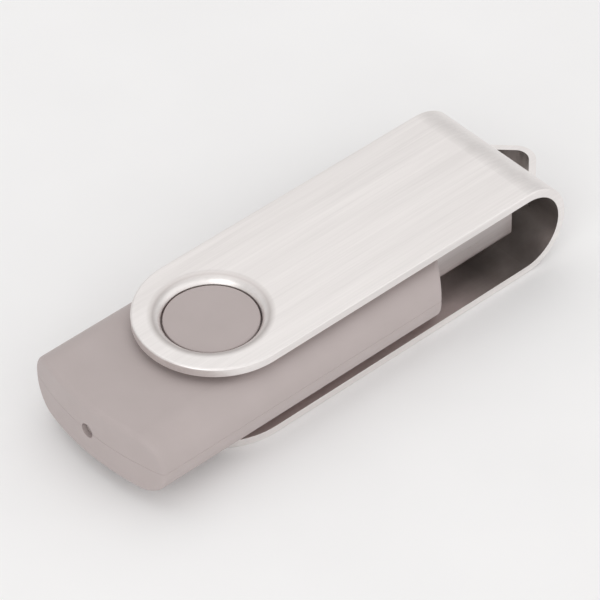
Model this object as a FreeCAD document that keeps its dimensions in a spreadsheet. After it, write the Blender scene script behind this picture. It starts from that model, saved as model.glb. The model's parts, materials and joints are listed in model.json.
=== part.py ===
import FreeCAD, Part
import math
import os
import Sketcher

# USB flash drive: a plastic body in two halves, turning in a folded steel clip.
# Frame: +X towards the plug and the clip's bend, +Z up, origin under the middle of the closed drive.
# The hub axis, about which the clip swivels, is the vertical line x = hub_x, y = 0.

SIZES = [
    # clip
    ("hub_x", -14.59), ("clip_width", 18.0), ("clip_height", 11.46), ("sheet_gauge", 1.06),
    ("bend_from_hub", 37.07), ("end_shift", 0.76), ("hole_radius", 5.32), ("rim_radius", 6.5),
    ("dish_depth", 0.8), ("lip_depth", 1.28), ("ring_radius", 7.4), ("clip_edge_round", 0.22),
    # key loop: a strip of the bend between two slits, pushed outwards
    ("loop_band", 2.4), ("loop_gauge", 0.8), ("loop_reach", 46.2), ("loop_half_width", 4.8),
    ("loop_slit", 0.15), ("loop_nose_radius", 2.3),
    # body
    ("body_rear", 17.02), ("body_front", 25.9), ("body_half_width", 10.42), ("body_half_height", 3.8),
    ("rear_radius", 34.4), ("shoulder", 23.1), ("landing_half", 6.1), ("side_round", 3.45),
    ("end_edge_round", 0.7), ("landing_round", 1.2),
    ("wall", 1.2), ("front_wall", 3.0), ("rear_wall", 2.4), ("side_wall", 2.3),
    ("boss_radius", 5.12), ("boss_drop", 0.72), ("boss_edge_round", 0.12), ("core_radius", 3.8),
    ("lip_width", 0.5), ("lip_height", 0.6), ("seam_gap", 0.05), ("seam_round", 0.05),
    ("light_hole_radius", 0.85), ("post_radius", 0.8), ("pin_radius", 0.55),
    # plug
    ("plug_width", 12.0), ("plug_height", 4.5), ("shell_gauge", 0.3), ("shell_back", 18.2),
    ("shell_tip", 37.6), ("window_length", 2.5), ("window_width", 2.0), ("window_from_tip", 5.2),
    ("window_offset", 2.8), ("shell_corner", 0.5), ("tongue_thickness", 1.9), ("tongue_back", 0.4),
    ("block_length", 3.2), ("tab_length", 2.4), ("tab_height", 1.2),
    ("contact_width", 1.0), ("contact_gauge", 0.2), ("power_pitch", 3.5), ("data_pitch", 1.0),
    ("power_setback", 1.3), ("data_setback", 2.3), ("contact_tail", 15.6),
    # board and what is on it
    ("board_rear", 14.0), ("board_front", 18.0), ("board_width", 14.6), ("board_gauge", 0.8),
    ("board_drop", 0.13), ("flash_length", 18.4), ("flash_width", 12.0), ("flash_gauge", 1.0),
    ("chip_lift", 0.1), ("controller_side", 7.0), ("controller_gauge", 1.2), ("crystal_length", 5.0),
    ("crystal_width", 3.2), ("crystal_gauge", 1.2), ("regulator_length", 2.9),
    ("regulator_width", 1.3), ("regulator_gauge", 1.0), ("passive_length", 1.6),
    ("passive_width", 0.8), ("passive_gauge", 0.6), ("light_length", 1.2), ("light_width", 1.6),
    ("light_gauge", 0.9), ("window_recess", 0.5),
]

doc = FreeCAD.newDocument("flash_drive")
sheet = doc.addObject("Spreadsheet::Sheet", "Sizes")
for row, (alias, number) in enumerate(SIZES, start=1):
    sheet.set("A%d" % row, alias)
    sheet.set("B%d" % row, str(number))
    sheet.setAlias("B%d" % row, alias)
doc.recompute()


def size(alias):
    """Value of one cell of the sheet."""
    return float(sheet.get(alias))


# Expressions used more than once
MID_Z = "Sizes.clip_height / 2"
BEND_X = "(Sizes.hub_x + Sizes.bend_from_hub)"
BOARD_TOP = "(Sizes.clip_height / 2 - Sizes.board_drop)"

hub_x = size("hub_x")
mid_z = size("clip_height") / 2
board_top = mid_z - size("board_drop")
board_bottom = board_top - size("board_gauge")


# ---------- helpers for PartDesign bodies ----------

def new_body(name):
    """A body whose label names its node."""
    body = doc.addObject("PartDesign::Body", name)
    body.Label = name
    return body


def new_sketch(body, name, role, along=None):
    """A sketch on one of the body's own origin planes, moved along the plane's normal."""
    sketch = body.newObject("Sketcher::SketchObject", name)
    plane = [item for item in body.Origin.OriginFeatures if item.Role == role][0]
    sketch.AttachmentSupport = (plane, [""])
    sketch.MapMode = "FlatFace"
    if along:
        sketch.setExpression("AttachmentOffset.Base.z", along)
    return sketch


def pin_point(sketch, geometry, which, across, up, at=FreeCAD.Vector(1, 1, 0)):
    """Fix a sketch point by two distances from the sketch origin. at is where it is first held."""
    for kind, text, held in (("DistanceX", across, at.x), ("DistanceY", up, at.y)):
        index = sketch.addConstraint(Sketcher.Constraint(kind, -1, 1, geometry, which, held))
        sketch.setExpression("Constraints[%d]" % index, text)


def draw_polygon(sketch, corners):
    """A closed polygon whose corners are pairs of expressions."""
    count = len(corners)
    first = sketch.GeometryCount
    start = [
        FreeCAD.Vector(10 * math.cos(2 * math.pi * i / count), 10 * math.sin(2 * math.pi * i / count), 0)
        for i in range(count)
    ]
    for i in range(count):
        sketch.addGeometry(Part.LineSegment(start[i], start[(i + 1) % count]), False)
    for i in range(count):
        follower = first + (i + 1) % count
        sketch.addConstraint(Sketcher.Constraint("Coincident", first + i, 2, follower, 1))
    for i, (across, up) in enumerate(corners):
        pin_point(sketch, first + i, 1, across, up)


def draw_rectangle(sketch, left, right, low, high):
    """A rectangle between two pairs of expressions."""
    draw_polygon(sketch, [(left, low), (right, low), (right, high), (left, high)])


def draw_circle(sketch, across, up, radius):
    """A circle with its centre and radius given by expressions."""
    index = sketch.addGeometry(Part.Circle(FreeCAD.Vector(1, 1, 0), FreeCAD.Vector(0, 0, 1), 2), False)
    pin_point(sketch, index, 3, across, up)
    ring = sketch.addConstraint(Sketcher.Constraint("Radius", index, 2.0))
    sketch.setExpression("Constraints[%d]" % ring, radius)


def add_pad(body, sketch, length, midplane=False, reverse=False):
    """Pad a sketch by an expression."""
    pad = body.newObject("PartDesign::Pad", sketch.Name + "_pad")
    pad.Profile = sketch
    pad.setExpression("Length", length)
    pad.Midplane = midplane
    pad.Reversed = reverse
    doc.recompute()
    return pad


def add_pocket(body, sketch, length, midplane=False, reverse=False):
    """Pocket a sketch by an expression, and make sure that it removes material."""
    before = body.Shape.Volume
    pocket = body.newObject("PartDesign::Pocket", sketch.Name + "_cut")
    pocket.Profile = sketch
    pocket.setExpression("Length", length)
    pocket.Midplane = midplane
    pocket.Reversed = reverse
    doc.recompute()
    if body.Shape.Volume > before - 1e-4:
        raise RuntimeError("pocket %s removes nothing" % sketch.Name)
    return pocket


def add_fillet(body, radius, choose):
    """Fillet the edges of the body's tip that the chooser accepts."""
    base = body.Tip
    names = ["Edge%d" % (i + 1) for i, edge in enumerate(base.Shape.Edges) if choose(edge)]
    if not names:
        raise RuntimeError("no edge to round on %s" % body.Label)
    fillet = body.newObject("PartDesign::Fillet", body.Name + "_round")
    fillet.Base = (base, names)
    fillet.setExpression("Radius", radius)
    doc.recompute()
    return fillet


def add_chamfer(body, width, choose):
    """Chamfer the edges of the body's tip that the chooser accepts."""
    base = body.Tip
    names = ["Edge%d" % (i + 1) for i, edge in enumerate(base.Shape.Edges) if choose(edge)]
    if not names:
        raise RuntimeError("no edge to chamfer on %s" % body.Label)
    chamfer = body.newObject("PartDesign::Chamfer", body.Name + "_ease")
    chamfer.Base = (base, names)
    chamfer.setExpression("Size", width)
    doc.recompute()
    return chamfer


def box_of(edge):
    return edge.BoundBox


def near(value, target, slack=0.01):
    return abs(value - target) < slack


# ---------- clip: one bent and pierced steel sheet ----------

clip = new_body("swivel_clip")
END_X = "(Sizes.hub_x + Sizes.end_shift)"

outline = new_sketch(clip, "clip_end", "XY_Plane")
draw_circle(outline, END_X, "0", "Sizes.clip_width / 2")
add_pad(clip, outline, "Sizes.clip_height")
plates = new_sketch(clip, "clip_plates", "XY_Plane")
draw_rectangle(plates, END_X, BEND_X, "-Sizes.clip_width / 2", "Sizes.clip_width / 2")
add_pad(clip, plates, "Sizes.clip_height")
bend = new_sketch(clip, "clip_bend", "XZ_Plane")
draw_circle(bend, BEND_X, MID_Z, "Sizes.clip_height / 2")
add_pad(clip, bend, "Sizes.clip_width", midplane=True)


def on_outer_edge(edge):
    """Edges of the blank's outline on the outside faces of the two plates and of the bend."""
    bounds = box_of(edge)
    flat = bounds.ZLength < 0.01 and (near(bounds.ZMin, 0) or near(bounds.ZMin, size("clip_height")))
    along_side = near(abs(bounds.YMin), size("clip_width") / 2) and bounds.YLength < 0.01
    round_end = bounds.YLength > 1 and bounds.XMax < hub_x + size("end_shift") + 0.01
    around_bend = along_side and bounds.ZLength > 1 and bounds.XLength > 1
    return (flat and (along_side or round_end)) or around_bend


add_fillet(clip, "Sizes.clip_edge_round", on_outer_edge)

slot = new_sketch(clip, "loop_slot", "YZ_Plane")
draw_rectangle(
    slot, "-Sizes.loop_half_width", "Sizes.loop_half_width",
    MID_Z + " - Sizes.loop_band / 2 - Sizes.loop_slit", MID_Z + " + Sizes.loop_band / 2 + Sizes.loop_slit")
slot.setExpression("AttachmentOffset.Base.z", BEND_X)
add_pocket(clip, slot, "20", reverse=True)


def loop_edge(sketch, inset):
    """Plan outline of the loop strip at one offset: two slanting legs and a round nose."""
    reach = size("loop_reach") + hub_x - inset
    nose = size("loop_nose_radius") - inset
    centre = reach - nose
    lean = math.radians(45)
    touch_x = centre + nose * math.cos(lean)
    touch_y = nose * math.sin(lean)
    return centre, nose, touch_x, touch_y


loop = new_sketch(clip, "loop_strip", "XY_Plane", MID_Z + " - Sizes.loop_band / 2")
outer = loop_edge(loop, 0.0)
inner = loop_edge(loop, size("loop_gauge"))
root_y = size("loop_half_width") + 0.3
root_outer = outer[2] - (root_y - outer[3])
root_inner = inner[2] - (root_y - inner[3])
loop_points = {
    "ro": FreeCAD.Vector(root_outer, root_y, 0), "to": FreeCAD.Vector(outer[2], outer[3], 0),
    "no": FreeCAD.Vector(outer[0] + outer[1], 0, 0), "bo": FreeCAD.Vector(outer[2], -outer[3], 0),
    "so": FreeCAD.Vector(root_outer, -root_y, 0), "si": FreeCAD.Vector(root_inner, -root_y, 0),
    "bi": FreeCAD.Vector(inner[2], -inner[3], 0), "ni": FreeCAD.Vector(inner[0] + inner[1], 0, 0),
    "ti": FreeCAD.Vector(inner[2], inner[3], 0), "ri": FreeCAD.Vector(root_inner, root_y, 0),
}
for piece in (
    Part.LineSegment(loop_points["ro"], loop_points["to"]),
    Part.Arc(loop_points["to"], loop_points["no"], loop_points["bo"]),
    Part.LineSegment(loop_points["bo"], loop_points["so"]),
    Part.LineSegment(loop_points["so"], loop_points["si"]),
    Part.LineSegment(loop_points["si"], loop_points["bi"]),
    Part.Arc(loop_points["bi"], loop_points["ni"], loop_points["ti"]),
    Part.LineSegment(loop_points["ti"], loop_points["ri"]),
    Part.LineSegment(loop_points["ri"], loop_points["ro"]),
):
    loop.addGeometry(piece, False)
add_pad(clip, loop, "Sizes.loop_band")

gap = new_sketch(clip, "clip_gap", "XZ_Plane")
draw_rectangle(gap, "Sizes.hub_x - 30", BEND_X, "Sizes.sheet_gauge", "Sizes.clip_height - Sizes.sheet_gauge")
add_pocket(clip, gap, "Sizes.clip_width * 2", midplane=True)
bend_inside = new_sketch(clip, "clip_bend_inside", "XZ_Plane")
draw_circle(bend_inside, BEND_X, MID_Z, "Sizes.clip_height / 2 - Sizes.sheet_gauge")
add_pocket(clip, bend_inside, "Sizes.clip_width * 2", midplane=True)

bearing = new_sketch(clip, "clip_bearing_seat", "XY_Plane")
draw_circle(bearing, "Sizes.hub_x", "0", "Sizes.ring_radius")
add_pocket(clip, bearing, "Sizes.clip_height * 2", midplane=True)


def dished_ring(name, side):
    """The dished rim round a bearing hole: a section revolved about the hub axis."""
    face = "Sizes.clip_height" if side > 0 else "0"
    face_z = size("clip_height") if side > 0 else 0.0
    step = "-" if side > 0 else "+"
    rim, hole, dish = size("rim_radius"), size("hole_radius"), size("dish_depth")
    lip, gauge, ring_out = size("lip_depth"), size("sheet_gauge"), size("ring_radius") + 0.05
    bow = ((rim - hole) ** 2 + dish ** 2) / (2 * dish)
    half_turn = math.asin((rim - hole) / bow) / 2

    def spot(radius, depth):
        return FreeCAD.Vector(hub_x + radius, face_z - side * depth, 0)

    section = [
        (spot(ring_out, 0), "Sizes.ring_radius + 0.05", "0"),
        (spot(rim, 0), "Sizes.rim_radius", "0"),
        (spot(hole, dish), "Sizes.hole_radius", "Sizes.dish_depth"),
        (spot(hole, lip), "Sizes.hole_radius", "Sizes.lip_depth"),
        (spot(rim - 0.35, lip), "Sizes.rim_radius - 0.35", "Sizes.lip_depth"),
        (spot(rim + 0.25, gauge), "Sizes.rim_radius + 0.25", "Sizes.sheet_gauge"),
        (spot(ring_out, gauge), "Sizes.ring_radius + 0.05", "Sizes.sheet_gauge"),
    ]
    ring = new_sketch(clip, name, "XZ_Plane")
    roll_middle = spot(rim - bow * math.sin(half_turn), bow - bow * math.cos(half_turn))
    for i, (start, radius, depth) in enumerate(section):
        finish = section[(i + 1) % len(section)][0]
        if i == 1:
            low_end, high_end = (start, finish) if side > 0 else (finish, start)
            ring.addGeometry(Part.Arc(low_end, roll_middle, high_end), False)
        else:
            ring.addGeometry(Part.LineSegment(start, finish), False)
    roll_start, roll_end = (1, 2) if side > 0 else (2, 1)
    ends = [(1, 2), (roll_start, roll_end)] + [(1, 2)] * 5
    for i, (start, radius, depth) in enumerate(section):
        follower = (i + 1) % len(section)
        ring.addConstraint(Sketcher.Constraint("Coincident", i, ends[i][1], follower, ends[follower][0]))
        across = "Sizes.hub_x + (%s)" % radius
        pin_point(ring, i, ends[i][0], across, "%s %s (%s)" % (face, step, depth), start)
    roll = ring.addConstraint(Sketcher.Constraint("Radius", 1, bow))
    span = "(Sizes.rim_radius - Sizes.hole_radius)"
    ring.setExpression("Constraints[%d]" % roll, "(%s^2 + Sizes.dish_depth^2) / (2 * Sizes.dish_depth)" % span)
    turn = clip.newObject("PartDesign::Revolution", name + "_turn")
    turn.Profile = ring
    axis_sketch = new_sketch(clip, name + "_axis", "XZ_Plane")
    axis_sketch.addGeometry(Part.LineSegment(FreeCAD.Vector(1, 0, 0), FreeCAD.Vector(1, 5, 0)), False)
    pin_point(axis_sketch, 0, 1, "Sizes.hub_x", "0")
    pin_point(axis_sketch, 0, 2, "Sizes.hub_x", "Sizes.clip_height")
    doc.recompute()
    turn.ReferenceAxis = (axis_sketch, ["Edge1"])
    turn.Angle = 360
    doc.recompute()


dished_ring("upper_rim", 1)
dished_ring("lower_rim", -1)

# ---------- housing halves ----------

def housing(name, side):
    """One half of the plastic body. side is 1 for the upper half and -1 for the lower."""
    down = side < 0
    body = new_body(name)
    sign = "-" if down else "+"
    face_z = mid_z + side * size("body_half_height")

    def level(text):
        return "%s %s (%s)" % (MID_Z, sign, text)

    plan = new_sketch(body, name + "_plan", "XY_Plane", MID_Z)
    rear = "Sizes.hub_x - Sizes.body_rear"
    front = "Sizes.hub_x + Sizes.body_front"
    shoulder = "Sizes.hub_x + Sizes.shoulder"
    draw_polygon(plan, [
        (rear, "-Sizes.body_half_width"), (shoulder, "-Sizes.body_half_width"),
        (front, "-Sizes.landing_half"), (front, "Sizes.landing_half"),
        (shoulder, "Sizes.body_half_width"), (rear, "Sizes.body_half_width"),
    ])
    add_pad(body, plan, "Sizes.body_half_height", reverse=down)

    crown = new_sketch(body, name + "_rear_arc", "XY_Plane", MID_Z)
    centre = "Sizes.hub_x - Sizes.body_rear + Sizes.rear_radius"
    draw_circle(crown, centre, "0", "Sizes.rear_radius")
    draw_circle(crown, centre, "0", "Sizes.rear_radius + 8")
    add_pocket(body, crown, "60", midplane=True)

    rear_limit = hub_x - size("body_rear") + 1.75
    front_limit = hub_x + size("shoulder") - 0.05

    def landing_edge(edge):
        """Upright edges where the slanting shoulders meet the flat landing of the plug."""
        bounds = box_of(edge)
        upright_line = bounds.ZLength > 1 and bounds.XLength < 0.01
        return upright_line and near(bounds.XMin, hub_x + size("body_front"))

    def long_edge(edge):
        bounds = box_of(edge)
        return near(bounds.ZMin, face_z) and bounds.ZLength < 0.01 and bounds.YLength < 0.01 and bounds.XLength > 9

    def end_edge(edge):
        """Edges round the two end faces, but not those in the parting plane."""
        bounds = box_of(edge)
        at_end = bounds.XMax < rear_limit or bounds.XMin > front_limit
        in_seam = bounds.ZLength < 0.01 and near(bounds.ZMin, mid_z)
        smooth = bounds.ZLength > 1 and bounds.YLength < 0.01 and abs(bounds.YMin) < size("body_half_width") - 1
        return at_end and not in_seam and not smooth

    add_fillet(body, "Sizes.landing_round", landing_edge)
    add_fillet(body, "Sizes.side_round", long_edge)
    add_fillet(body, "Sizes.end_edge_round", end_edge)

    def seam_edge(edge):
        """Outer edges in the parting plane, eased so that the seam shows as a fine groove."""
        bounds = box_of(edge)
        return bounds.ZLength < 0.01 and near(bounds.ZMin, mid_z)

    add_chamfer(body, "Sizes.seam_round", seam_edge)

    boss = new_sketch(body, name + "_boss", "XY_Plane", level("Sizes.body_half_height - 0.5"))
    draw_circle(boss, "Sizes.hub_x", "0", "Sizes.boss_radius")
    add_pad(body, boss, "Sizes.clip_height / 2 - Sizes.boss_drop - Sizes.body_half_height + 0.5", reverse=down)
    boss_face = mid_z + side * (mid_z - size("boss_drop"))

    def boss_edge(edge):
        bounds = box_of(edge)
        return bounds.ZLength < 0.01 and near(bounds.ZMin, boss_face)

    add_fillet(body, "Sizes.boss_edge_round", boss_edge)

    cavity = new_sketch(body, name + "_cavity", "XY_Plane", MID_Z)
    draw_rectangle(
        cavity, "Sizes.hub_x - Sizes.body_rear + Sizes.rear_wall", "Sizes.hub_x + Sizes.body_front - Sizes.front_wall",
        "-Sizes.body_half_width + Sizes.side_wall", "Sizes.body_half_width - Sizes.side_wall")
    add_pocket(body, cavity, "Sizes.body_half_height - Sizes.wall", reverse=not down)

    core = new_sketch(body, name + "_core", "XY_Plane", MID_Z)
    draw_circle(core, "Sizes.hub_x", "0", "Sizes.core_radius")
    add_pocket(body, core, "Sizes.clip_height / 2 - Sizes.boss_drop - Sizes.wall", reverse=not down)

    opening = new_sketch(body, name + "_plug_opening", "YZ_Plane", "Sizes.hub_x + Sizes.body_front - Sizes.front_wall - 1")
    draw_rectangle(
        opening, "-Sizes.plug_width / 2 - 0.02", "Sizes.plug_width / 2 + 0.02",
        MID_Z + " - Sizes.plug_height / 2 - 0.02", MID_Z + " + Sizes.plug_height / 2 + 0.02")
    add_pocket(body, opening, "Sizes.front_wall + 3", reverse=True)

    light = new_sketch(body, name + "_light_hole", "YZ_Plane", "Sizes.hub_x - Sizes.body_rear - 2")
    draw_circle(light, "0", MID_Z, "Sizes.light_hole_radius")
    add_pocket(body, light, "Sizes.rear_wall + 3", reverse=True)

    frame_out = "(Sizes.side_wall - Sizes.lip_width%s)"
    spare = "" if down else " - Sizes.seam_gap"
    grow = "" if down else " + Sizes.seam_gap"
    rebate = new_sketch(body, name + "_seam_lip", "XY_Plane", MID_Z)
    draw_rectangle(
        rebate,
        "Sizes.hub_x - Sizes.body_rear + Sizes.rear_wall - Sizes.lip_width" + spare,
        "Sizes.hub_x + Sizes.body_front - Sizes.front_wall + Sizes.lip_width" + grow,
        "-Sizes.body_half_width + " + frame_out % spare,
        "Sizes.body_half_width - " + frame_out % spare)
    if down:
        draw_rectangle(
            rebate,
            "Sizes.hub_x - Sizes.body_rear + Sizes.rear_wall",
            "Sizes.hub_x + Sizes.body_front - Sizes.front_wall",
            "-Sizes.body_half_width + Sizes.side_wall",
            "Sizes.body_half_width - Sizes.side_wall")
        add_pad(body, rebate, "Sizes.lip_height")
        clear = new_sketch(body, name + "_lip_light_hole", "YZ_Plane", "Sizes.hub_x - Sizes.body_rear - 2")
        draw_circle(clear, "0", MID_Z, "Sizes.light_hole_radius")
        add_pocket(body, clear, "Sizes.rear_wall + 3", reverse=True)
        mouth = new_sketch(body, name + "_lip_plug_opening", "YZ_Plane", "Sizes.hub_x + Sizes.shell_back - 3")
        draw_rectangle(
            mouth, "-Sizes.plug_width / 2 - 0.02", "Sizes.plug_width / 2 + 0.02",
            MID_Z + " - 0.5", MID_Z + " + Sizes.plug_height / 2 + 0.02")
        add_pocket(body, mouth, "10", reverse=True)
    else:
        add_pocket(body, rebate, "Sizes.lip_height + Sizes.seam_gap", reverse=True)

    return body


POSTS = [(-12.9, 6.3), (-12.9, -6.3), (9.0, 6.4), (9.0, -6.4)]


def add_posts(body, side):
    """Posts that hold the board between the halves. The lower ones carry locating pins."""
    down = side < 0
    name = body.Name
    reach = "Sizes.body_half_height - Sizes.wall + 0.3"
    posts = new_sketch(body, name + "_posts", "XY_Plane",
                       BOARD_TOP + (" - Sizes.board_gauge" if down else ""))
    for along, across in POSTS:
        draw_circle(posts, "Sizes.hub_x + (%g)" % along, "%g" % across, "Sizes.post_radius")
    drop = "Sizes.board_drop + Sizes.board_gauge" if down else "Sizes.board_drop"
    length = reach + (" - (%s)" % drop if down else " + (%s)" % drop)
    add_pad(body, posts, length, reverse=down)
    pins = new_sketch(body, name + "_pins", "XY_Plane", BOARD_TOP + " - Sizes.board_gauge - 0.3")
    for along, across in POSTS:
        grow = "" if down else " + 0.05"
        draw_circle(pins, "Sizes.hub_x + (%g)" % along, "%g" % across, "Sizes.pin_radius" + grow)
    if down:
        add_pad(body, pins, "Sizes.board_gauge + 1.3")
    else:
        add_pocket(body, pins, "Sizes.board_gauge + 1.5", reverse=True)


housing_upper = housing("housing_upper", 1)
housing_lower = housing("housing_lower", -1)
add_posts(housing_upper, 1)
add_posts(housing_lower, -1)


# ---------- plug ----------

shell = new_body("plug_shell")
SHELL_BACK = "Sizes.hub_x + Sizes.shell_back"
tube = new_sketch(shell, "shell_tube", "YZ_Plane", SHELL_BACK)
draw_rectangle(
    tube, "-Sizes.plug_width / 2", "Sizes.plug_width / 2",
    MID_Z + " - Sizes.plug_height / 2", MID_Z + " + Sizes.plug_height / 2")
add_pad(shell, tube, "Sizes.shell_tip - Sizes.shell_back")
add_fillet(shell, "Sizes.shell_corner", lambda edge: box_of(edge).XLength > 5)
hollow = new_sketch(shell, "shell_hollow", "YZ_Plane", SHELL_BACK + " - 1")
draw_rectangle(
    hollow, "-Sizes.plug_width / 2 + Sizes.shell_gauge", "Sizes.plug_width / 2 - Sizes.shell_gauge",
    MID_Z + " - Sizes.plug_height / 2 + Sizes.shell_gauge", MID_Z + " + Sizes.plug_height / 2 - Sizes.shell_gauge")
add_pocket(shell, hollow, "Sizes.shell_tip - Sizes.shell_back + 2", reverse=True)
add_fillet(shell, "0.2", lambda edge: box_of(edge).XLength > 5 and abs(box_of(edge).YMin) < size("plug_width") / 2 - 0.25
           and abs(box_of(edge).YMax - box_of(edge).YMin) < 0.01
           and near(abs(box_of(edge).ZMin - mid_z), size("plug_height") / 2 - size("shell_gauge")))
windows = new_sketch(shell, "shell_windows", "XY_Plane", MID_Z)
WINDOW_X = "Sizes.hub_x + Sizes.shell_tip - Sizes.window_from_tip"
for flip in ("-", ""):
    middle = flip + "Sizes.window_offset"
    draw_rectangle(
        windows, WINDOW_X + " - Sizes.window_length", WINDOW_X,
        middle + " - Sizes.window_width / 2", middle + " + Sizes.window_width / 2")
add_pocket(shell, windows, "Sizes.plug_height * 2", midplane=True)
tabs = new_sketch(shell, "shell_tabs", "XZ_Plane")
draw_rectangle(
    tabs, SHELL_BACK + " - Sizes.tab_length", SHELL_BACK + " + 0.5",
    BOARD_TOP + " - Sizes.board_gauge - 0.2", BOARD_TOP + " - Sizes.board_gauge - 0.2 + Sizes.tab_height")
add_pad(shell, tabs, "Sizes.plug_width", midplane=True)
tab_gap = new_sketch(shell, "shell_tab_gap", "XZ_Plane")
draw_rectangle(
    tab_gap, SHELL_BACK + " - Sizes.tab_length - 1", SHELL_BACK + " + 0.5",
    BOARD_TOP + " - 2", BOARD_TOP + " + 1")
add_pocket(shell, tab_gap, "Sizes.plug_width - 2 * Sizes.shell_gauge", midplane=True)

insulator = new_body("plug_insulator")
TONGUE_LOW = MID_Z + " - Sizes.plug_height / 2 + Sizes.shell_gauge"
INNER_HALF = "(Sizes.plug_width / 2 - Sizes.shell_gauge - 0.05)"
tongue = new_sketch(insulator, "tongue_plan", "XY_Plane", TONGUE_LOW)
draw_rectangle(
    tongue, SHELL_BACK, "Sizes.hub_x + Sizes.shell_tip - Sizes.tongue_back", "-" + INNER_HALF, INNER_HALF)
add_pad(insulator, tongue, "Sizes.tongue_thickness")
block = new_sketch(insulator, "insulator_block", "XY_Plane", TONGUE_LOW)
draw_rectangle(block, SHELL_BACK, SHELL_BACK + " + Sizes.block_length", "-" + INNER_HALF, INNER_HALF)
add_pad(insulator, block, "Sizes.plug_height - 2 * Sizes.shell_gauge")
add_fillet(insulator, "0.3", lambda edge: box_of(edge).YLength > 5 and box_of(edge).XMin > hub_x + 30)
add_fillet(insulator, "0.25", lambda edge: box_of(edge).XLength > 2 and near(box_of(edge).YLength, 0)
           and (box_of(edge).ZMax < mid_z - 1.9 or box_of(edge).ZMin > mid_z + 1.9))

CONTACTS = [
    ("contact_vbus", "Sizes.power_pitch", "power_setback"),
    ("contact_data_minus", "Sizes.data_pitch", "data_setback"),
    ("contact_data_plus", "-Sizes.data_pitch", "data_setback"),
    ("contact_ground", "-Sizes.power_pitch", "power_setback"),
]
grooves = new_sketch(insulator, "contact_grooves", "XY_Plane", BOARD_TOP)
for name, offset, setback in CONTACTS:
    draw_rectangle(
        grooves, SHELL_BACK + " - 1", "Sizes.hub_x + Sizes.shell_tip - Sizes.%s" % setback,
        offset + " - Sizes.contact_width / 2", offset + " + Sizes.contact_width / 2")
add_pocket(insulator, grooves, "Sizes.contact_gauge", reverse=True)

for name, offset, setback in CONTACTS:
    contact = new_body(name)
    strip = new_sketch(contact, name + "_strip", "XY_Plane", BOARD_TOP)
    draw_rectangle(
        strip, "Sizes.hub_x + Sizes.contact_tail", "Sizes.hub_x + Sizes.shell_tip - Sizes.%s" % setback,
        offset + " - Sizes.contact_width / 2", offset + " + Sizes.contact_width / 2")
    add_pad(contact, strip, "Sizes.contact_gauge")


# ---------- circuit board and its components ----------

board = new_body("circuit_board")
board_plan = new_sketch(board, "board_plan", "XY_Plane", BOARD_TOP)
draw_rectangle(
    board_plan, "Sizes.hub_x - Sizes.board_rear", "Sizes.hub_x + Sizes.board_front",
    "-Sizes.board_width / 2", "Sizes.board_width / 2")
add_pad(board, board_plan, "Sizes.board_gauge", reverse=True)
add_fillet(board, "0.6", lambda edge: near(box_of(edge).ZLength, size("board_gauge")) and box_of(edge).XLength < 0.01)
holes = new_sketch(board, "board_holes", "XY_Plane", BOARD_TOP)
for along, across in POSTS:
    draw_circle(holes, "Sizes.hub_x + (%g)" % along, "%g" % across, "Sizes.pin_radius + 0.05")
add_pocket(board, holes, "10", midplane=True)
slots = new_sketch(board, "board_slots", "XY_Plane", BOARD_TOP)
for flip in (-1, 1):
    inner_y = "%d * (Sizes.plug_width / 2 - Sizes.shell_gauge - 0.1)" % flip
    outer_y = "%d * (Sizes.plug_width / 2 + 0.1)" % flip
    low, high = (outer_y, inner_y) if flip < 0 else (inner_y, outer_y)
    draw_rectangle(
        slots, "Sizes.hub_x + Sizes.shell_back - Sizes.tab_length - 0.1",
        "Sizes.hub_x + Sizes.board_front + 1", low, high)
add_pocket(board, slots, "10", midplane=True)


def part_box(name, length, width, height, corner):
    """A Part box with its sizes and its low corner given by expressions."""
    box = doc.addObject("Part::Box", name)
    box.setExpression("Length", length)
    box.setExpression("Width", width)
    box.setExpression("Height", height)
    for axis, text in zip("xyz", corner):
        box.setExpression("Placement.Base.%s" % axis, text)
    return box


def rounded(name, box, radius, choose):
    """A Part fillet on the chosen edges of a box. It becomes the node."""
    doc.recompute()
    fillet = doc.addObject("Part::Fillet", name)
    fillet.Base = box
    fillet.Edges = [(i + 1, radius, radius) for i, edge in enumerate(box.Shape.Edges) if choose(edge)]
    fillet.Label = name
    return fillet


def upright(edge):
    return box_of(edge).XLength < 0.01 and box_of(edge).YLength < 0.01


def top_rim(z_level):
    return lambda edge: box_of(edge).ZLength < 0.01 and near(box_of(edge).ZMin, z_level)


FLASH_X = -2.1
flash_box = part_box(
    "flash_block", "Sizes.flash_length", "Sizes.flash_width", "Sizes.flash_gauge",
    ("Sizes.hub_x + (%g) - Sizes.flash_length / 2" % FLASH_X, "-Sizes.flash_width / 2", BOARD_TOP + " + Sizes.chip_lift"))
flash = rounded("flash_memory", flash_box, 0.12, top_rim(board_top + size("chip_lift") + size("flash_gauge")))

CONTROLLER_X = -1.0
controller_box = part_box(
    "controller_block", "Sizes.controller_side", "Sizes.controller_side", "Sizes.controller_gauge",
    ("Sizes.hub_x + (%g) - Sizes.controller_side / 2" % CONTROLLER_X, "-Sizes.controller_side / 2",
     BOARD_TOP + " - Sizes.board_gauge - Sizes.chip_lift - Sizes.controller_gauge"))
controller = rounded(
    "controller", controller_box, 0.12,
    top_rim(board_bottom - size("chip_lift") - size("controller_gauge")))

CRYSTAL = (12.4, 3.4)
crystal_box = part_box(
    "crystal_block", "Sizes.crystal_width", "Sizes.crystal_length", "Sizes.crystal_gauge",
    ("Sizes.hub_x + %g - Sizes.crystal_width / 2" % CRYSTAL[0], "%g - Sizes.crystal_length / 2" % CRYSTAL[1], BOARD_TOP))
crystal = rounded("crystal", crystal_box, 0.35, upright)

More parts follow.
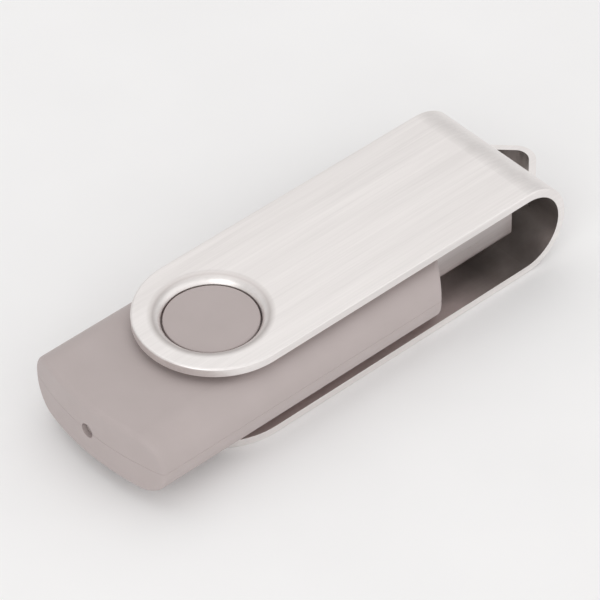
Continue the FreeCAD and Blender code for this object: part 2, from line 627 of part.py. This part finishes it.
REGULATOR = (12.2, -3.6)
regulator_box = part_box(
    "regulator_block", "Sizes.regulator_width", "Sizes.regulator_length", "Sizes.regulator_gauge",
    ("Sizes.hub_x + %g - Sizes.regulator_width / 2" % REGULATOR[0],
     "%g - Sizes.regulator_length / 2" % REGULATOR[1], BOARD_TOP + " + Sizes.chip_lift"))
regulator = rounded(
    "voltage_regulator", regulator_box, 0.1,
    top_rim(board_top + size("chip_lift") + size("regulator_gauge")))

light_box = part_box(
    "light_block", "Sizes.light_length", "Sizes.light_width", "Sizes.light_gauge",
    ("Sizes.hub_x - Sizes.board_rear + 0.1", "-Sizes.light_width / 2", BOARD_TOP))
status_led = rounded("status_led", light_box, 0.15, top_rim(board_top + size("light_gauge")))

pipe = doc.addObject("Part::Cylinder", "light_pipe")
pipe.setExpression("Radius", "Sizes.light_hole_radius - 0.03")
pipe.setExpression("Height", "Sizes.rear_wall - Sizes.window_recess + 0.1")
pipe.setExpression("Placement.Base.x", "Sizes.hub_x - Sizes.body_rear + Sizes.window_recess")
pipe.setExpression("Placement.Base.z", MID_Z)
pipe.Placement.Rotation = FreeCAD.Rotation(FreeCAD.Vector(0, 1, 0), 90)
doc.recompute()
led_window = rounded("led_window", pipe, 0.15, lambda edge: box_of(edge).XLength < 0.01)


# Legs and small chip parts are rows of equal separate solids, so each row is one compound.

def gull_leg(width, reach, stand):
    """A bent leg: shoulder from the chip's side, a drop, and a foot. Grows towards +X from x = 0."""
    gauge = 0.13
    outline = [
        (0, stand), (0.3, stand), (0.3 + gauge, stand - gauge), (0.42, gauge), (reach, gauge),
        (reach, 0), (0.32, 0), (0.3, stand - gauge), (0, stand - gauge),
    ]
    corners = [FreeCAD.Vector(x, -width / 2, z) for x, z in outline]
    face = Part.Face(Part.makePolygon(corners + corners[:1]))
    return face.extrude(FreeCAD.Vector(0, width, 0))


def leg_rows(name, centre, half_x, half_y, stand, width, pitch, along_x, along_y, level, up):
    """Rows of legs on the ends (along_x) and the sides (along_y) of a chip, on either face of the board."""
    legs = []
    rows = [(0, half_x, along_x), (180, half_x, along_x), (90, half_y, along_y), (270, half_y, along_y)]
    for angle, half, count in rows:
        for i in range(count):
            leg = gull_leg(width, 0.75, stand)
            leg.translate(FreeCAD.Vector(half, (i - (count - 1) / 2) * pitch, 0))
            leg.rotate(FreeCAD.Vector(0, 0, 0), FreeCAD.Vector(0, 0, 1), angle)
            if not up:
                leg.rotate(FreeCAD.Vector(0, 0, 0), FreeCAD.Vector(1, 0, 0), 180)
            leg.translate(FreeCAD.Vector(hub_x + centre[0], centre[1], level))
            legs.append(leg)
    feature = doc.addObject("Part::Feature", name)
    feature.Label = name
    feature.Shape = Part.makeCompound(legs)
    feature.Placement = FreeCAD.Placement()
    return feature


flash_leads = leg_rows(
    "flash_memory_leads", (FLASH_X, 0), size("flash_length") / 2, 0, 0.55, 0.22, 0.48, 24, 0, board_top, True)
controller_leads = leg_rows(
    "controller_leads", (CONTROLLER_X, 0), size("controller_side") / 2, size("controller_side") / 2,
    0.6, 0.22, 0.5, 12, 12, board_bottom, False)


def regulator_legs():
    """Two legs on one side and one on the other."""
    legs = []
    for angle, spots in ((0, (-0.95, 0.95)), (180, (0.0,))):
        for spot in spots:
            leg = gull_leg(0.4, 0.7, 0.55)
            leg.translate(FreeCAD.Vector(size("regulator_width") / 2, spot, 0))
            leg.rotate(FreeCAD.Vector(0, 0, 0), FreeCAD.Vector(0, 0, 1), angle)
            leg.translate(FreeCAD.Vector(hub_x + REGULATOR[0], REGULATOR[1], board_top))
            legs.append(leg)
    feature = doc.addObject("Part::Feature", "voltage_regulator_leads")
    feature.Label = "voltage_regulator_leads"
    feature.Shape = Part.makeCompound(legs)
    feature.Placement = FreeCAD.Placement()
    return feature


regulator_leads = regulator_legs()

CAPACITORS = [(9.3, 2.2), (9.3, 0.2), (15.0, 6.4), (14.2, -6.3), (12.4, -0.3)]
RESISTORS = [(9.3, -1.9), (9.3, -3.9), (14.6, -3.6), (-13.0, 3.2)]


def chip_parts(name, places, gauge, turned):
    """Small two-ended parts standing on the board's upper face."""
    blocks = []
    length, width = size("passive_length"), size("passive_width")
    if turned:
        length, width = width, length
    for along, across in places:
        corner = FreeCAD.Vector(hub_x + along - length / 2, across - width / 2, board_top)
        blocks.append(Part.makeBox(length, width, gauge, corner))
    feature = doc.addObject("Part::Feature", name)
    feature.Label = name
    feature.Shape = Part.makeCompound(blocks)
    feature.Placement = FreeCAD.Placement()
    return feature


capacitors = chip_parts("chip_capacitors", CAPACITORS, size("passive_gauge") + 0.2, False)
resistors = chip_parts("chip_resistors", RESISTORS, size("passive_gauge") - 0.1, False)


# ---------- check and export ----------

doc.recompute()
NODES = [
    "housing_upper", "housing_lower", "swivel_clip", "plug_shell", "plug_insulator",
    "contact_vbus", "contact_data_minus", "contact_data_plus", "contact_ground", "circuit_board",
    "flash_memory", "flash_memory_leads", "controller", "controller_leads", "crystal",
    "voltage_regulator", "voltage_regulator_leads", "status_led", "led_window",
    "chip_capacitors", "chip_resistors",
]
for item in doc.Objects:
    if "Invalid" in item.State or "Error" in item.State:
        raise RuntimeError("%s is %s" % (item.Label, item.State))
nodes = {item.Label: item for item in doc.Objects if item.Label in NODES}
for name in NODES:
    shape = nodes[name].Shape
    if shape.isNull() or not shape.isValid():
        raise RuntimeError("%s has no valid shape" % name)
os.makedirs("parts", exist_ok=True)
for name in NODES:
    shape = nodes[name].Shape
    shape.exportStep("parts/%s.step" % name)
    bounds = shape.BoundBox
    print("%-24s solids %2d  volume %9.3f  x %7.2f %7.2f  y %6.2f %6.2f  z %6.2f %6.2f" % (
        name, len(shape.Solids), shape.Volume, bounds.XMin, bounds.XMax,
        bounds.YMin, bounds.YMax, bounds.ZMin, bounds.ZMax))
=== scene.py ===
import json
import math

import bpy
from mathutils import Matrix, Vector


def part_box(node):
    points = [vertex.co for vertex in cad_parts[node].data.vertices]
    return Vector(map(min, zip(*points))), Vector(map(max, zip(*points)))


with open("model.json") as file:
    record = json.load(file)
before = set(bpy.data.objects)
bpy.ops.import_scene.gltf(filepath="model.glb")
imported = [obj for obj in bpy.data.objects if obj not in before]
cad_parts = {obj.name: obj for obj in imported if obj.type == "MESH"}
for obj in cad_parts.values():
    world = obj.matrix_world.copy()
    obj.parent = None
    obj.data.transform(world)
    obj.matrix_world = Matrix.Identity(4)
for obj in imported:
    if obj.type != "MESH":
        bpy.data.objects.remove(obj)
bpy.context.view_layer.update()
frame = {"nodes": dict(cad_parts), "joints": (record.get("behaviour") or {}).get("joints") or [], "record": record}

# The CAD box, straight after loading.
nodes = frame["nodes"]
scene = bpy.context.scene

MM = 0.001
clip_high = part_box("swivel_clip")[1]
HUB_X = frame["joints"][0]["pos_m"][0]
MID_Z = clip_high[2] / 2

# Camera: angles in degrees, and the point it aims at as a distance from the hub, in metres.
AZIMUTH = -40.57
ELEVATION = 42.77
ROLL = -1.44
AIM = (HUB_X + 11.236 * MM, -1.099 * MM, 7.001 * MM)
DISTANCE = 396.95 * MM
LENS = 225.1
SENSOR = 36.0

# Clip: how far a point inside it, some 6 mm short of the bend's axis, lies behind the tip of the
# key loop. Faces that look towards this point are the inner ones, which get painted shade. HALF_GAP
# is half the height of the space between the plates, plus a little, so that the whole inner surface is within it.
INNER_POINT_TO_LOOP_TIP = 14.8 * MM
HALF_GAP = MID_Z - 0.9 * MM
# The painted shade on the inner surface deepens between these distances from that point along X.
DARK_FROM = -4.0 * MM
DARK_TO = 1.5 * MM
# Radii, from the hub axis, of the ring of painted shade on the rolled rim.
RIM_INNER = 5.7 * MM
RIM_PEAK = 6.1 * MM
RIM_OUTER = 6.8 * MM
# How dark the painted shade on the rim ring is.
RIM_SHADE_STRENGTH = 0.55

FLOOR_HALF = 3.0
FLOOR_DROP = 0.00002
ROOM_STRENGTH = 0.70


# ---------- camera ----------

def add_camera():
    """A long lens above the near rear corner, rolled by a degree or so."""
    azimuth, elevation, roll = math.radians(AZIMUTH), math.radians(ELEVATION), math.radians(ROLL)
    aim = Vector(AIM)
    back = Vector((
        math.sin(azimuth) * math.cos(elevation),
        -math.cos(azimuth) * math.cos(elevation),
        math.sin(elevation)))
    right = Vector((0, 0, 1)).cross(back).normalized()
    up = back.cross(right)
    tilted_right = right * math.cos(roll) + up * math.sin(roll)
    tilted_up = up * math.cos(roll) - right * math.sin(roll)
    data = bpy.data.cameras.new("camera")
    data.sensor_width = SENSOR
    data.lens = LENS
    data.clip_start = 0.01
    data.clip_end = 20.0
    camera = bpy.data.objects.new("camera", data)
    scene.collection.objects.link(camera)
    turn = Matrix((tilted_right, tilted_up, back)).transposed().to_4x4()
    camera.matrix_world = Matrix.Translation(aim + back * DISTANCE) @ turn
    scene.camera = camera


# ---------- node helpers ----------

class Graph:
    """A short way to write node materials."""

    def __init__(self, name):
        self.material = bpy.data.materials.new(name)
        self.material.use_nodes = True
        self.tree = self.material.node_tree
        self.tree.nodes.clear()
        self.shader = self.add("ShaderNodeBsdfPrincipled")
        out = self.add("ShaderNodeOutputMaterial")
        self.link(self.shader.outputs["BSDF"], out.inputs["Surface"])

    def add(self, kind, **settings):
        node = self.tree.nodes.new(kind)
        for key, value in settings.items():
            setattr(node, key, value)
        return node

    def link(self, start, end):
        self.tree.links.new(start, end)

    def put(self, node, **values):
        for key, value in values.items():
            node.inputs[key.replace("_", " ")].default_value = value

    def place(self, scale=(1, 1, 1)):
        """Object coordinates, scaled."""
        coordinates = self.add("ShaderNodeTexCoord")
        mapping = self.add("ShaderNodeMapping")
        mapping.inputs["Scale"].default_value = scale
        self.link(coordinates.outputs["Object"], mapping.inputs["Vector"])
        return mapping.outputs["Vector"]

    def noise(self, vector, scale, detail=3.0, rough=0.5):
        node = self.add("ShaderNodeTexNoise")
        self.put(node, Scale=scale, Detail=detail, Roughness=rough)
        self.link(vector, node.inputs["Vector"])
        return node.outputs["Fac"]

    def spread(self, value, low, high, start=0.3, end=0.7):
        """Map a texture value from start..end to low..high."""
        node = self.add("ShaderNodeMapRange")
        node.inputs["From Min"].default_value = start
        node.inputs["From Max"].default_value = end
        node.inputs["To Min"].default_value = low
        node.inputs["To Max"].default_value = high
        self.link(value, node.inputs["Value"])
        return node.outputs["Result"]

    def blend(self, factor, first, second):
        """Mix two colours, each a tuple or a socket, by a factor socket."""
        node = self.add("ShaderNodeMix", data_type="RGBA")
        self.link(factor, node.inputs["Factor"])
        for socket, colour in ((node.inputs[6], first), (node.inputs[7], second)):
            if isinstance(colour, tuple):
                socket.default_value = (*colour, 1.0)
            else:
                self.link(colour, socket)
        return node.outputs[2]

    def maths(self, operation, first, second):
        """A Math node on two values, each a number or a socket."""
        node = self.add("ShaderNodeMath", operation=operation)
        for socket, value in ((node.inputs[0], first), (node.inputs[1], second)):
            if isinstance(value, (int, float)):
                socket.default_value = value
            else:
                self.link(value, socket)
        return node.outputs[0]

    def bump(self, height, strength, distance):
        """A normal from a height texture."""
        node = self.add("ShaderNodeBump")
        self.put(node, Strength=strength, Distance=distance)
        self.link(height, node.inputs["Height"])
        return node.outputs["Normal"]


# ---------- materials ----------

def brushed_steel(name, light, dark, low, high, scratch=0.12):
    """Satin steel, brushed along X: fine long streaks in colour, roughness and height.

    Returns the graph, and the sockets of its colour and roughness.
    """
    g = Graph(name)
    fine = g.noise(g.place((18, 900, 900)), 4.0, 5.0, 0.7)
    broad = g.noise(g.place((8, 140, 140)), 3.0, 3.0, 0.6)
    patch = g.noise(g.place((60, 60, 60)), 2.0, 2.0, 0.5)
    streak = g.maths("ADD", g.maths("MULTIPLY", fine, 0.6), g.maths("MULTIPLY", broad, 0.4))
    tone = g.blend(g.spread(streak, 0.0, 1.0, 0.36, 0.64), dark, light)
    g.link(tone, g.shader.inputs["Base Color"])
    rough = g.maths("ADD", g.spread(streak, low, high, 0.35, 0.65), g.spread(patch, -0.02, 0.03))
    g.link(rough, g.shader.inputs["Roughness"])
    g.link(g.bump(streak, scratch, 0.00002), g.shader.inputs["Normal"])
    g.put(g.shader, Metallic=1.0)
    return g, tone, rough


def inside_mask(g, centre, half_gap):
    """1 on the faces of the bent sheet that look towards the middle of the clip, 0 elsewhere; these faces get
    painted shade.

    Also returns how deep into the clip a point is, from 0 near the hub to 1 at the bend, which sets how dark the
    painted shade is.
    """
    coordinates = g.add("ShaderNodeTexCoord")
    away = g.add("ShaderNodeVectorMath", operation="SUBTRACT")
    g.link(coordinates.outputs["Object"], away.inputs[0])
    away.inputs[1].default_value = centre
    facing = g.add("ShaderNodeVectorMath", operation="DOT_PRODUCT")
    g.link(away.outputs["Vector"], facing.inputs[0])
    g.link(coordinates.outputs["Normal"], facing.inputs[1])
    split = g.add("ShaderNodeSeparateXYZ")
    g.link(away.outputs["Vector"], split.inputs["Vector"])
    inward = g.maths("LESS_THAN", facing.outputs["Value"], 0.0)
    between = g.maths("LESS_THAN", g.maths("ABSOLUTE", split.outputs["Z"], 0.0), half_gap)
    deep = g.spread(split.outputs["X"], 0.0, 1.0, DARK_FROM, DARK_TO)
    return g.maths("MULTIPLY", inward, between), deep


def rim_shade_mask(g, hub):
    """1 in a soft ring where the plate rolls down into the dished hole; painted shade goes there."""
    coordinates = g.add("ShaderNodeTexCoord")
    away = g.add("ShaderNodeVectorMath", operation="SUBTRACT")
    g.link(coordinates.outputs["Object"], away.inputs[0])
    away.inputs[1].default_value = hub
    flat = g.add("ShaderNodeVectorMath", operation="MULTIPLY")
    g.link(away.outputs["Vector"], flat.inputs[0])
    flat.inputs[1].default_value = (1.0, 1.0, 0.0)
    length = g.add("ShaderNodeVectorMath", operation="LENGTH")
    g.link(flat.outputs["Vector"], length.inputs[0])
    rise = g.spread(length.outputs["Value"], 0.0, 1.0, RIM_INNER, RIM_PEAK)
    fall = g.spread(length.outputs["Value"], 1.0, 0.0, RIM_PEAK, RIM_OUTER)
    return g.maths("MULTIPLY", rise, fall)


def clip_steel():
    """The clip's sheet: brushed outside, with a ring of painted shade round the rolled rims, and painted shade
    with a painted brown reflection on the inner faces, darkest inside the bend.
    """
    g, tone, rough = brushed_steel("clip_steel", (0.93, 0.90, 0.885), (0.84, 0.81, 0.795), 0.34, 0.46)
    to_clip = nodes["swivel_clip"].matrix_world.inverted()
    centre = to_clip @ Vector((clip_high[0] - INNER_POINT_TO_LOOP_TIP, 0.0, MID_Z))
    mask, deep = inside_mask(g, tuple(centre), HALF_GAP)
    hub = to_clip @ Vector((HUB_X, 0.0, MID_Z))
    rolled = g.maths("MULTIPLY", rim_shade_mask(g, tuple(hub)), RIM_SHADE_STRENGTH)
    mottle = g.noise(g.place(), 400.0, 3.0, 0.6)
    # Painted shade with a painted brown reflection of the plastic on the inner faces, mottled at random.
    plate = g.blend(g.spread(mottle, 0.0, 1.0), (0.74, 0.65, 0.635), (0.66, 0.575, 0.56))
    shade = g.blend(g.spread(mottle, 0.0, 1.0), (0.37, 0.33, 0.315), (0.31, 0.275, 0.26))
    # The painted shade on the inner faces grows darker towards the bend.
    painted_inner_shade = g.blend(deep, plate, shade)
    # Painted shade in a ring on the rolled rims round the hub holes.
    outside = g.blend(rolled, tone, (0.42, 0.375, 0.36))
    g.link(g.blend(mask, outside, painted_inner_shade), g.shader.inputs["Base Color"])
    g.link(g.maths("ADD", rough, g.maths("MULTIPLY", mask, 0.08)), g.shader.inputs["Roughness"])
    return g.material


def plug_steel():
    """Plated shell of the plug, drawn along its length."""
    g = brushed_steel("shell_steel", (0.60, 0.555, 0.545), (0.50, 0.46, 0.45), 0.24, 0.36, 0.06)[0]
    return g.material


def moulded_plastic(name, colour, shade, low, high, grain=0.25, grain_scale=9000.0):
    """Fine spark-eroded texture of a satin moulding, with faint flow and handling marks."""
    g = Graph(name)
    grain_noise = g.noise(g.place(), grain_scale, 3.0, 0.6)
    patch = g.noise(g.place(), 220.0, 3.0, 0.5)
    tone = g.blend(g.spread(patch, 0.0, 1.0, 0.3, 0.7), colour, shade)
    g.link(tone, g.shader.inputs["Base Color"])
    g.link(g.maths("ADD", g.spread(grain_noise, low, high), g.spread(patch, -0.03, 0.03)),
           g.shader.inputs["Roughness"])
    g.link(g.bump(grain_noise, grain, 0.00003), g.shader.inputs["Normal"])
    return g.material


def plated(name, colour, shade, low, high, scale=900.0):
    """Bright plating with slight cloudiness and fine wear."""
    g = Graph(name)
    cloud = g.noise(g.place(), scale, 4.0, 0.6)
    fine = g.noise(g.place((40, 900, 900)), 5.0, 3.0, 0.6)
    g.link(g.blend(g.spread(cloud, 0.0, 1.0), colour, shade), g.shader.inputs["Base Color"])
    both = g.maths("ADD", g.maths("MULTIPLY", cloud, 0.5), g.maths("MULTIPLY", fine, 0.5))
    g.link(g.spread(both, low, high), g.shader.inputs["Roughness"])
    g.link(g.bump(fine, 0.08, 0.00001), g.shader.inputs["Normal"])
    g.put(g.shader, Metallic=1.0)
    return g.material


def laminate(name):
    """Green solder mask over a faint weave, with a lighter grid of copper lines under it."""
    g = Graph(name)
    weave = g.add("ShaderNodeTexWave", wave_type="BANDS", bands_direction="X")
    g.put(weave, Scale=420.0, Distortion=6.0, Detail=1.0)
    g.link(g.place(), weave.inputs["Vector"])
    cells = g.add("ShaderNodeTexBrick")
    g.put(cells, Scale=520.0, Mortar_Size=0.06)
    cells.inputs["Color1"].default_value = (0.0, 0.0, 0.0, 1)
    cells.inputs["Color2"].default_value = (0.0, 0.0, 0.0, 1)
    cells.inputs["Mortar"].default_value = (1, 1, 1, 1)
    g.link(g.place(), cells.inputs["Vector"])
    threads = g.spread(weave.outputs["Fac"], 0.0, 1.0, 0.2, 0.8)
    base = g.blend(threads, (0.008, 0.085, 0.03), (0.012, 0.12, 0.045))
    tone = g.blend(cells.outputs["Color"], base, (0.04, 0.24, 0.09))
    g.link(tone, g.shader.inputs["Base Color"])
    g.link(g.spread(weave.outputs["Fac"], 0.25, 0.4, 0.0, 1.0), g.shader.inputs["Roughness"])
    g.link(g.bump(cells.outputs["Color"], 0.3, 0.00003), g.shader.inputs["Normal"])
    return g.material


def clear_resin(name, colour, rough, through):
    """Milky translucent plastic."""
    g = Graph(name)
    cloud = g.noise(g.place(), 1500.0, 3.0, 0.5)
    shade = tuple(channel * 0.85 for channel in colour)
    g.link(g.blend(g.spread(cloud, 0.0, 1.0), colour, shade), g.shader.inputs["Base Color"])
    g.link(g.spread(cloud, rough, rough + 0.1), g.shader.inputs["Roughness"])
    g.put(g.shader, IOR=1.5)
    g.shader.inputs["Transmission Weight"].default_value = through
    return g.material


MATERIALS = {
    "clip_steel": clip_steel(),
    "housing_plastic": moulded_plastic(
        "housing_plastic", (0.47, 0.41, 0.40), (0.45, 0.393, 0.382), 0.46, 0.58),
    "shell_steel": plug_steel(),
    "insulator_plastic": moulded_plastic(
        "insulator_plastic", (0.82, 0.81, 0.78), (0.78, 0.77, 0.74), 0.4, 0.5, 0.1),
    "contact_gold": plated("contact_gold", (0.95, 0.70, 0.30), (0.86, 0.60, 0.24), 0.14, 0.26),
    "board_laminate": laminate("board_laminate"),
    "chip_plastic": moulded_plastic(
        "chip_plastic", (0.018, 0.018, 0.02), (0.026, 0.026, 0.028), 0.5, 0.65, 0.5, 5000.0),
    "tinned_leads": plated("tinned_leads", (0.80, 0.79, 0.78), (0.68, 0.67, 0.66), 0.2, 0.35),
    "crystal_can": plated("crystal_can", (0.78, 0.77, 0.75), (0.66, 0.65, 0.63), 0.25, 0.38),
    "led_resin": clear_resin("led_resin", (0.9, 0.87, 0.72), 0.2, 0.4),
    "window_plastic": clear_resin("window_plastic", (0.55, 0.48, 0.46), 0.3, 0.3),
    "capacitor_ceramic": moulded_plastic(
        "capacitor_ceramic", (0.36, 0.24, 0.13), (0.30, 0.20, 0.11), 0.35, 0.5, 0.3, 4000.0),
    "resistor_ceramic": moulded_plastic(
        "resistor_ceramic", (0.02, 0.02, 0.022), (0.03, 0.03, 0.033), 0.2, 0.35, 0.1),
}


def dress_nodes():
    """Each CAD node takes the material of its slot in the record."""
    slots = {item["node"]: item["material_slot"] for item in frame["record"]["subparts"]}
    for name, node in nodes.items():
        node.data.materials.clear()
        node.data.materials.append(MATERIALS[slots[name]])


# ---------- stage ----------

def add_floor():
    """A pale plain floor under the drive."""
    data = bpy.data.meshes.new("floor")
    half = FLOOR_HALF
    corners = [(-half, -half, 0), (half, -half, 0), (half, half, 0), (-half, half, 0)]
    data.from_pydata(corners, [], [(0, 1, 2, 3)])
    floor = bpy.data.objects.new("floor", data)
    scene.collection.objects.link(floor)
    floor.location.z = -FLOOR_DROP
    g = Graph("floor_paper")
    soft = g.noise(g.place(), 60.0, 2.0, 0.5)
    paper = g.blend(g.spread(soft, 0.0, 1.0), (0.93, 0.93, 0.93), (0.91, 0.91, 0.91))
    g.link(paper, g.shader.inputs["Base Color"])
    g.put(g.shader, Roughness=0.9)
    data.materials.append(g.material)


def area_light(name, place, size, watts):
    """A soft box that faces the origin."""
    data = bpy.data.lights.new(name, "AREA")
    data.shape = "RECTANGLE"
    data.size, data.size_y = size
    data.energy = watts
    light = bpy.data.objects.new(name, data)
    scene.collection.objects.link(light)
    light.location = place
    direction = -Vector(place)
    light.rotation_euler = direction.to_track_quat("-Z", "Y").to_euler()


def add_lights():
    """Big soft boxes over and beside the drive, in a bright room."""
    world = bpy.data.worlds.new("room")
    world.use_nodes = True
    background = world.node_tree.nodes["Background"]
    background.inputs["Color"].default_value = (1.0, 0.985, 0.98, 1.0)
    background.inputs["Strength"].default_value = ROOM_STRENGTH
    scene.world = world
    area_light("over", (0.05, 0.15, 0.6), (0.7, 0.7), 0.7)
    area_light("left", (-0.55, -0.25, 0.35), (0.5, 0.4), 0.9)
    area_light("near", (0.15, -0.6, 0.22), (1.4, 0.8), 1.4)


add_camera()
dress_nodes()
add_floor()
add_lights()
scene.view_settings.view_transform = "Standard"
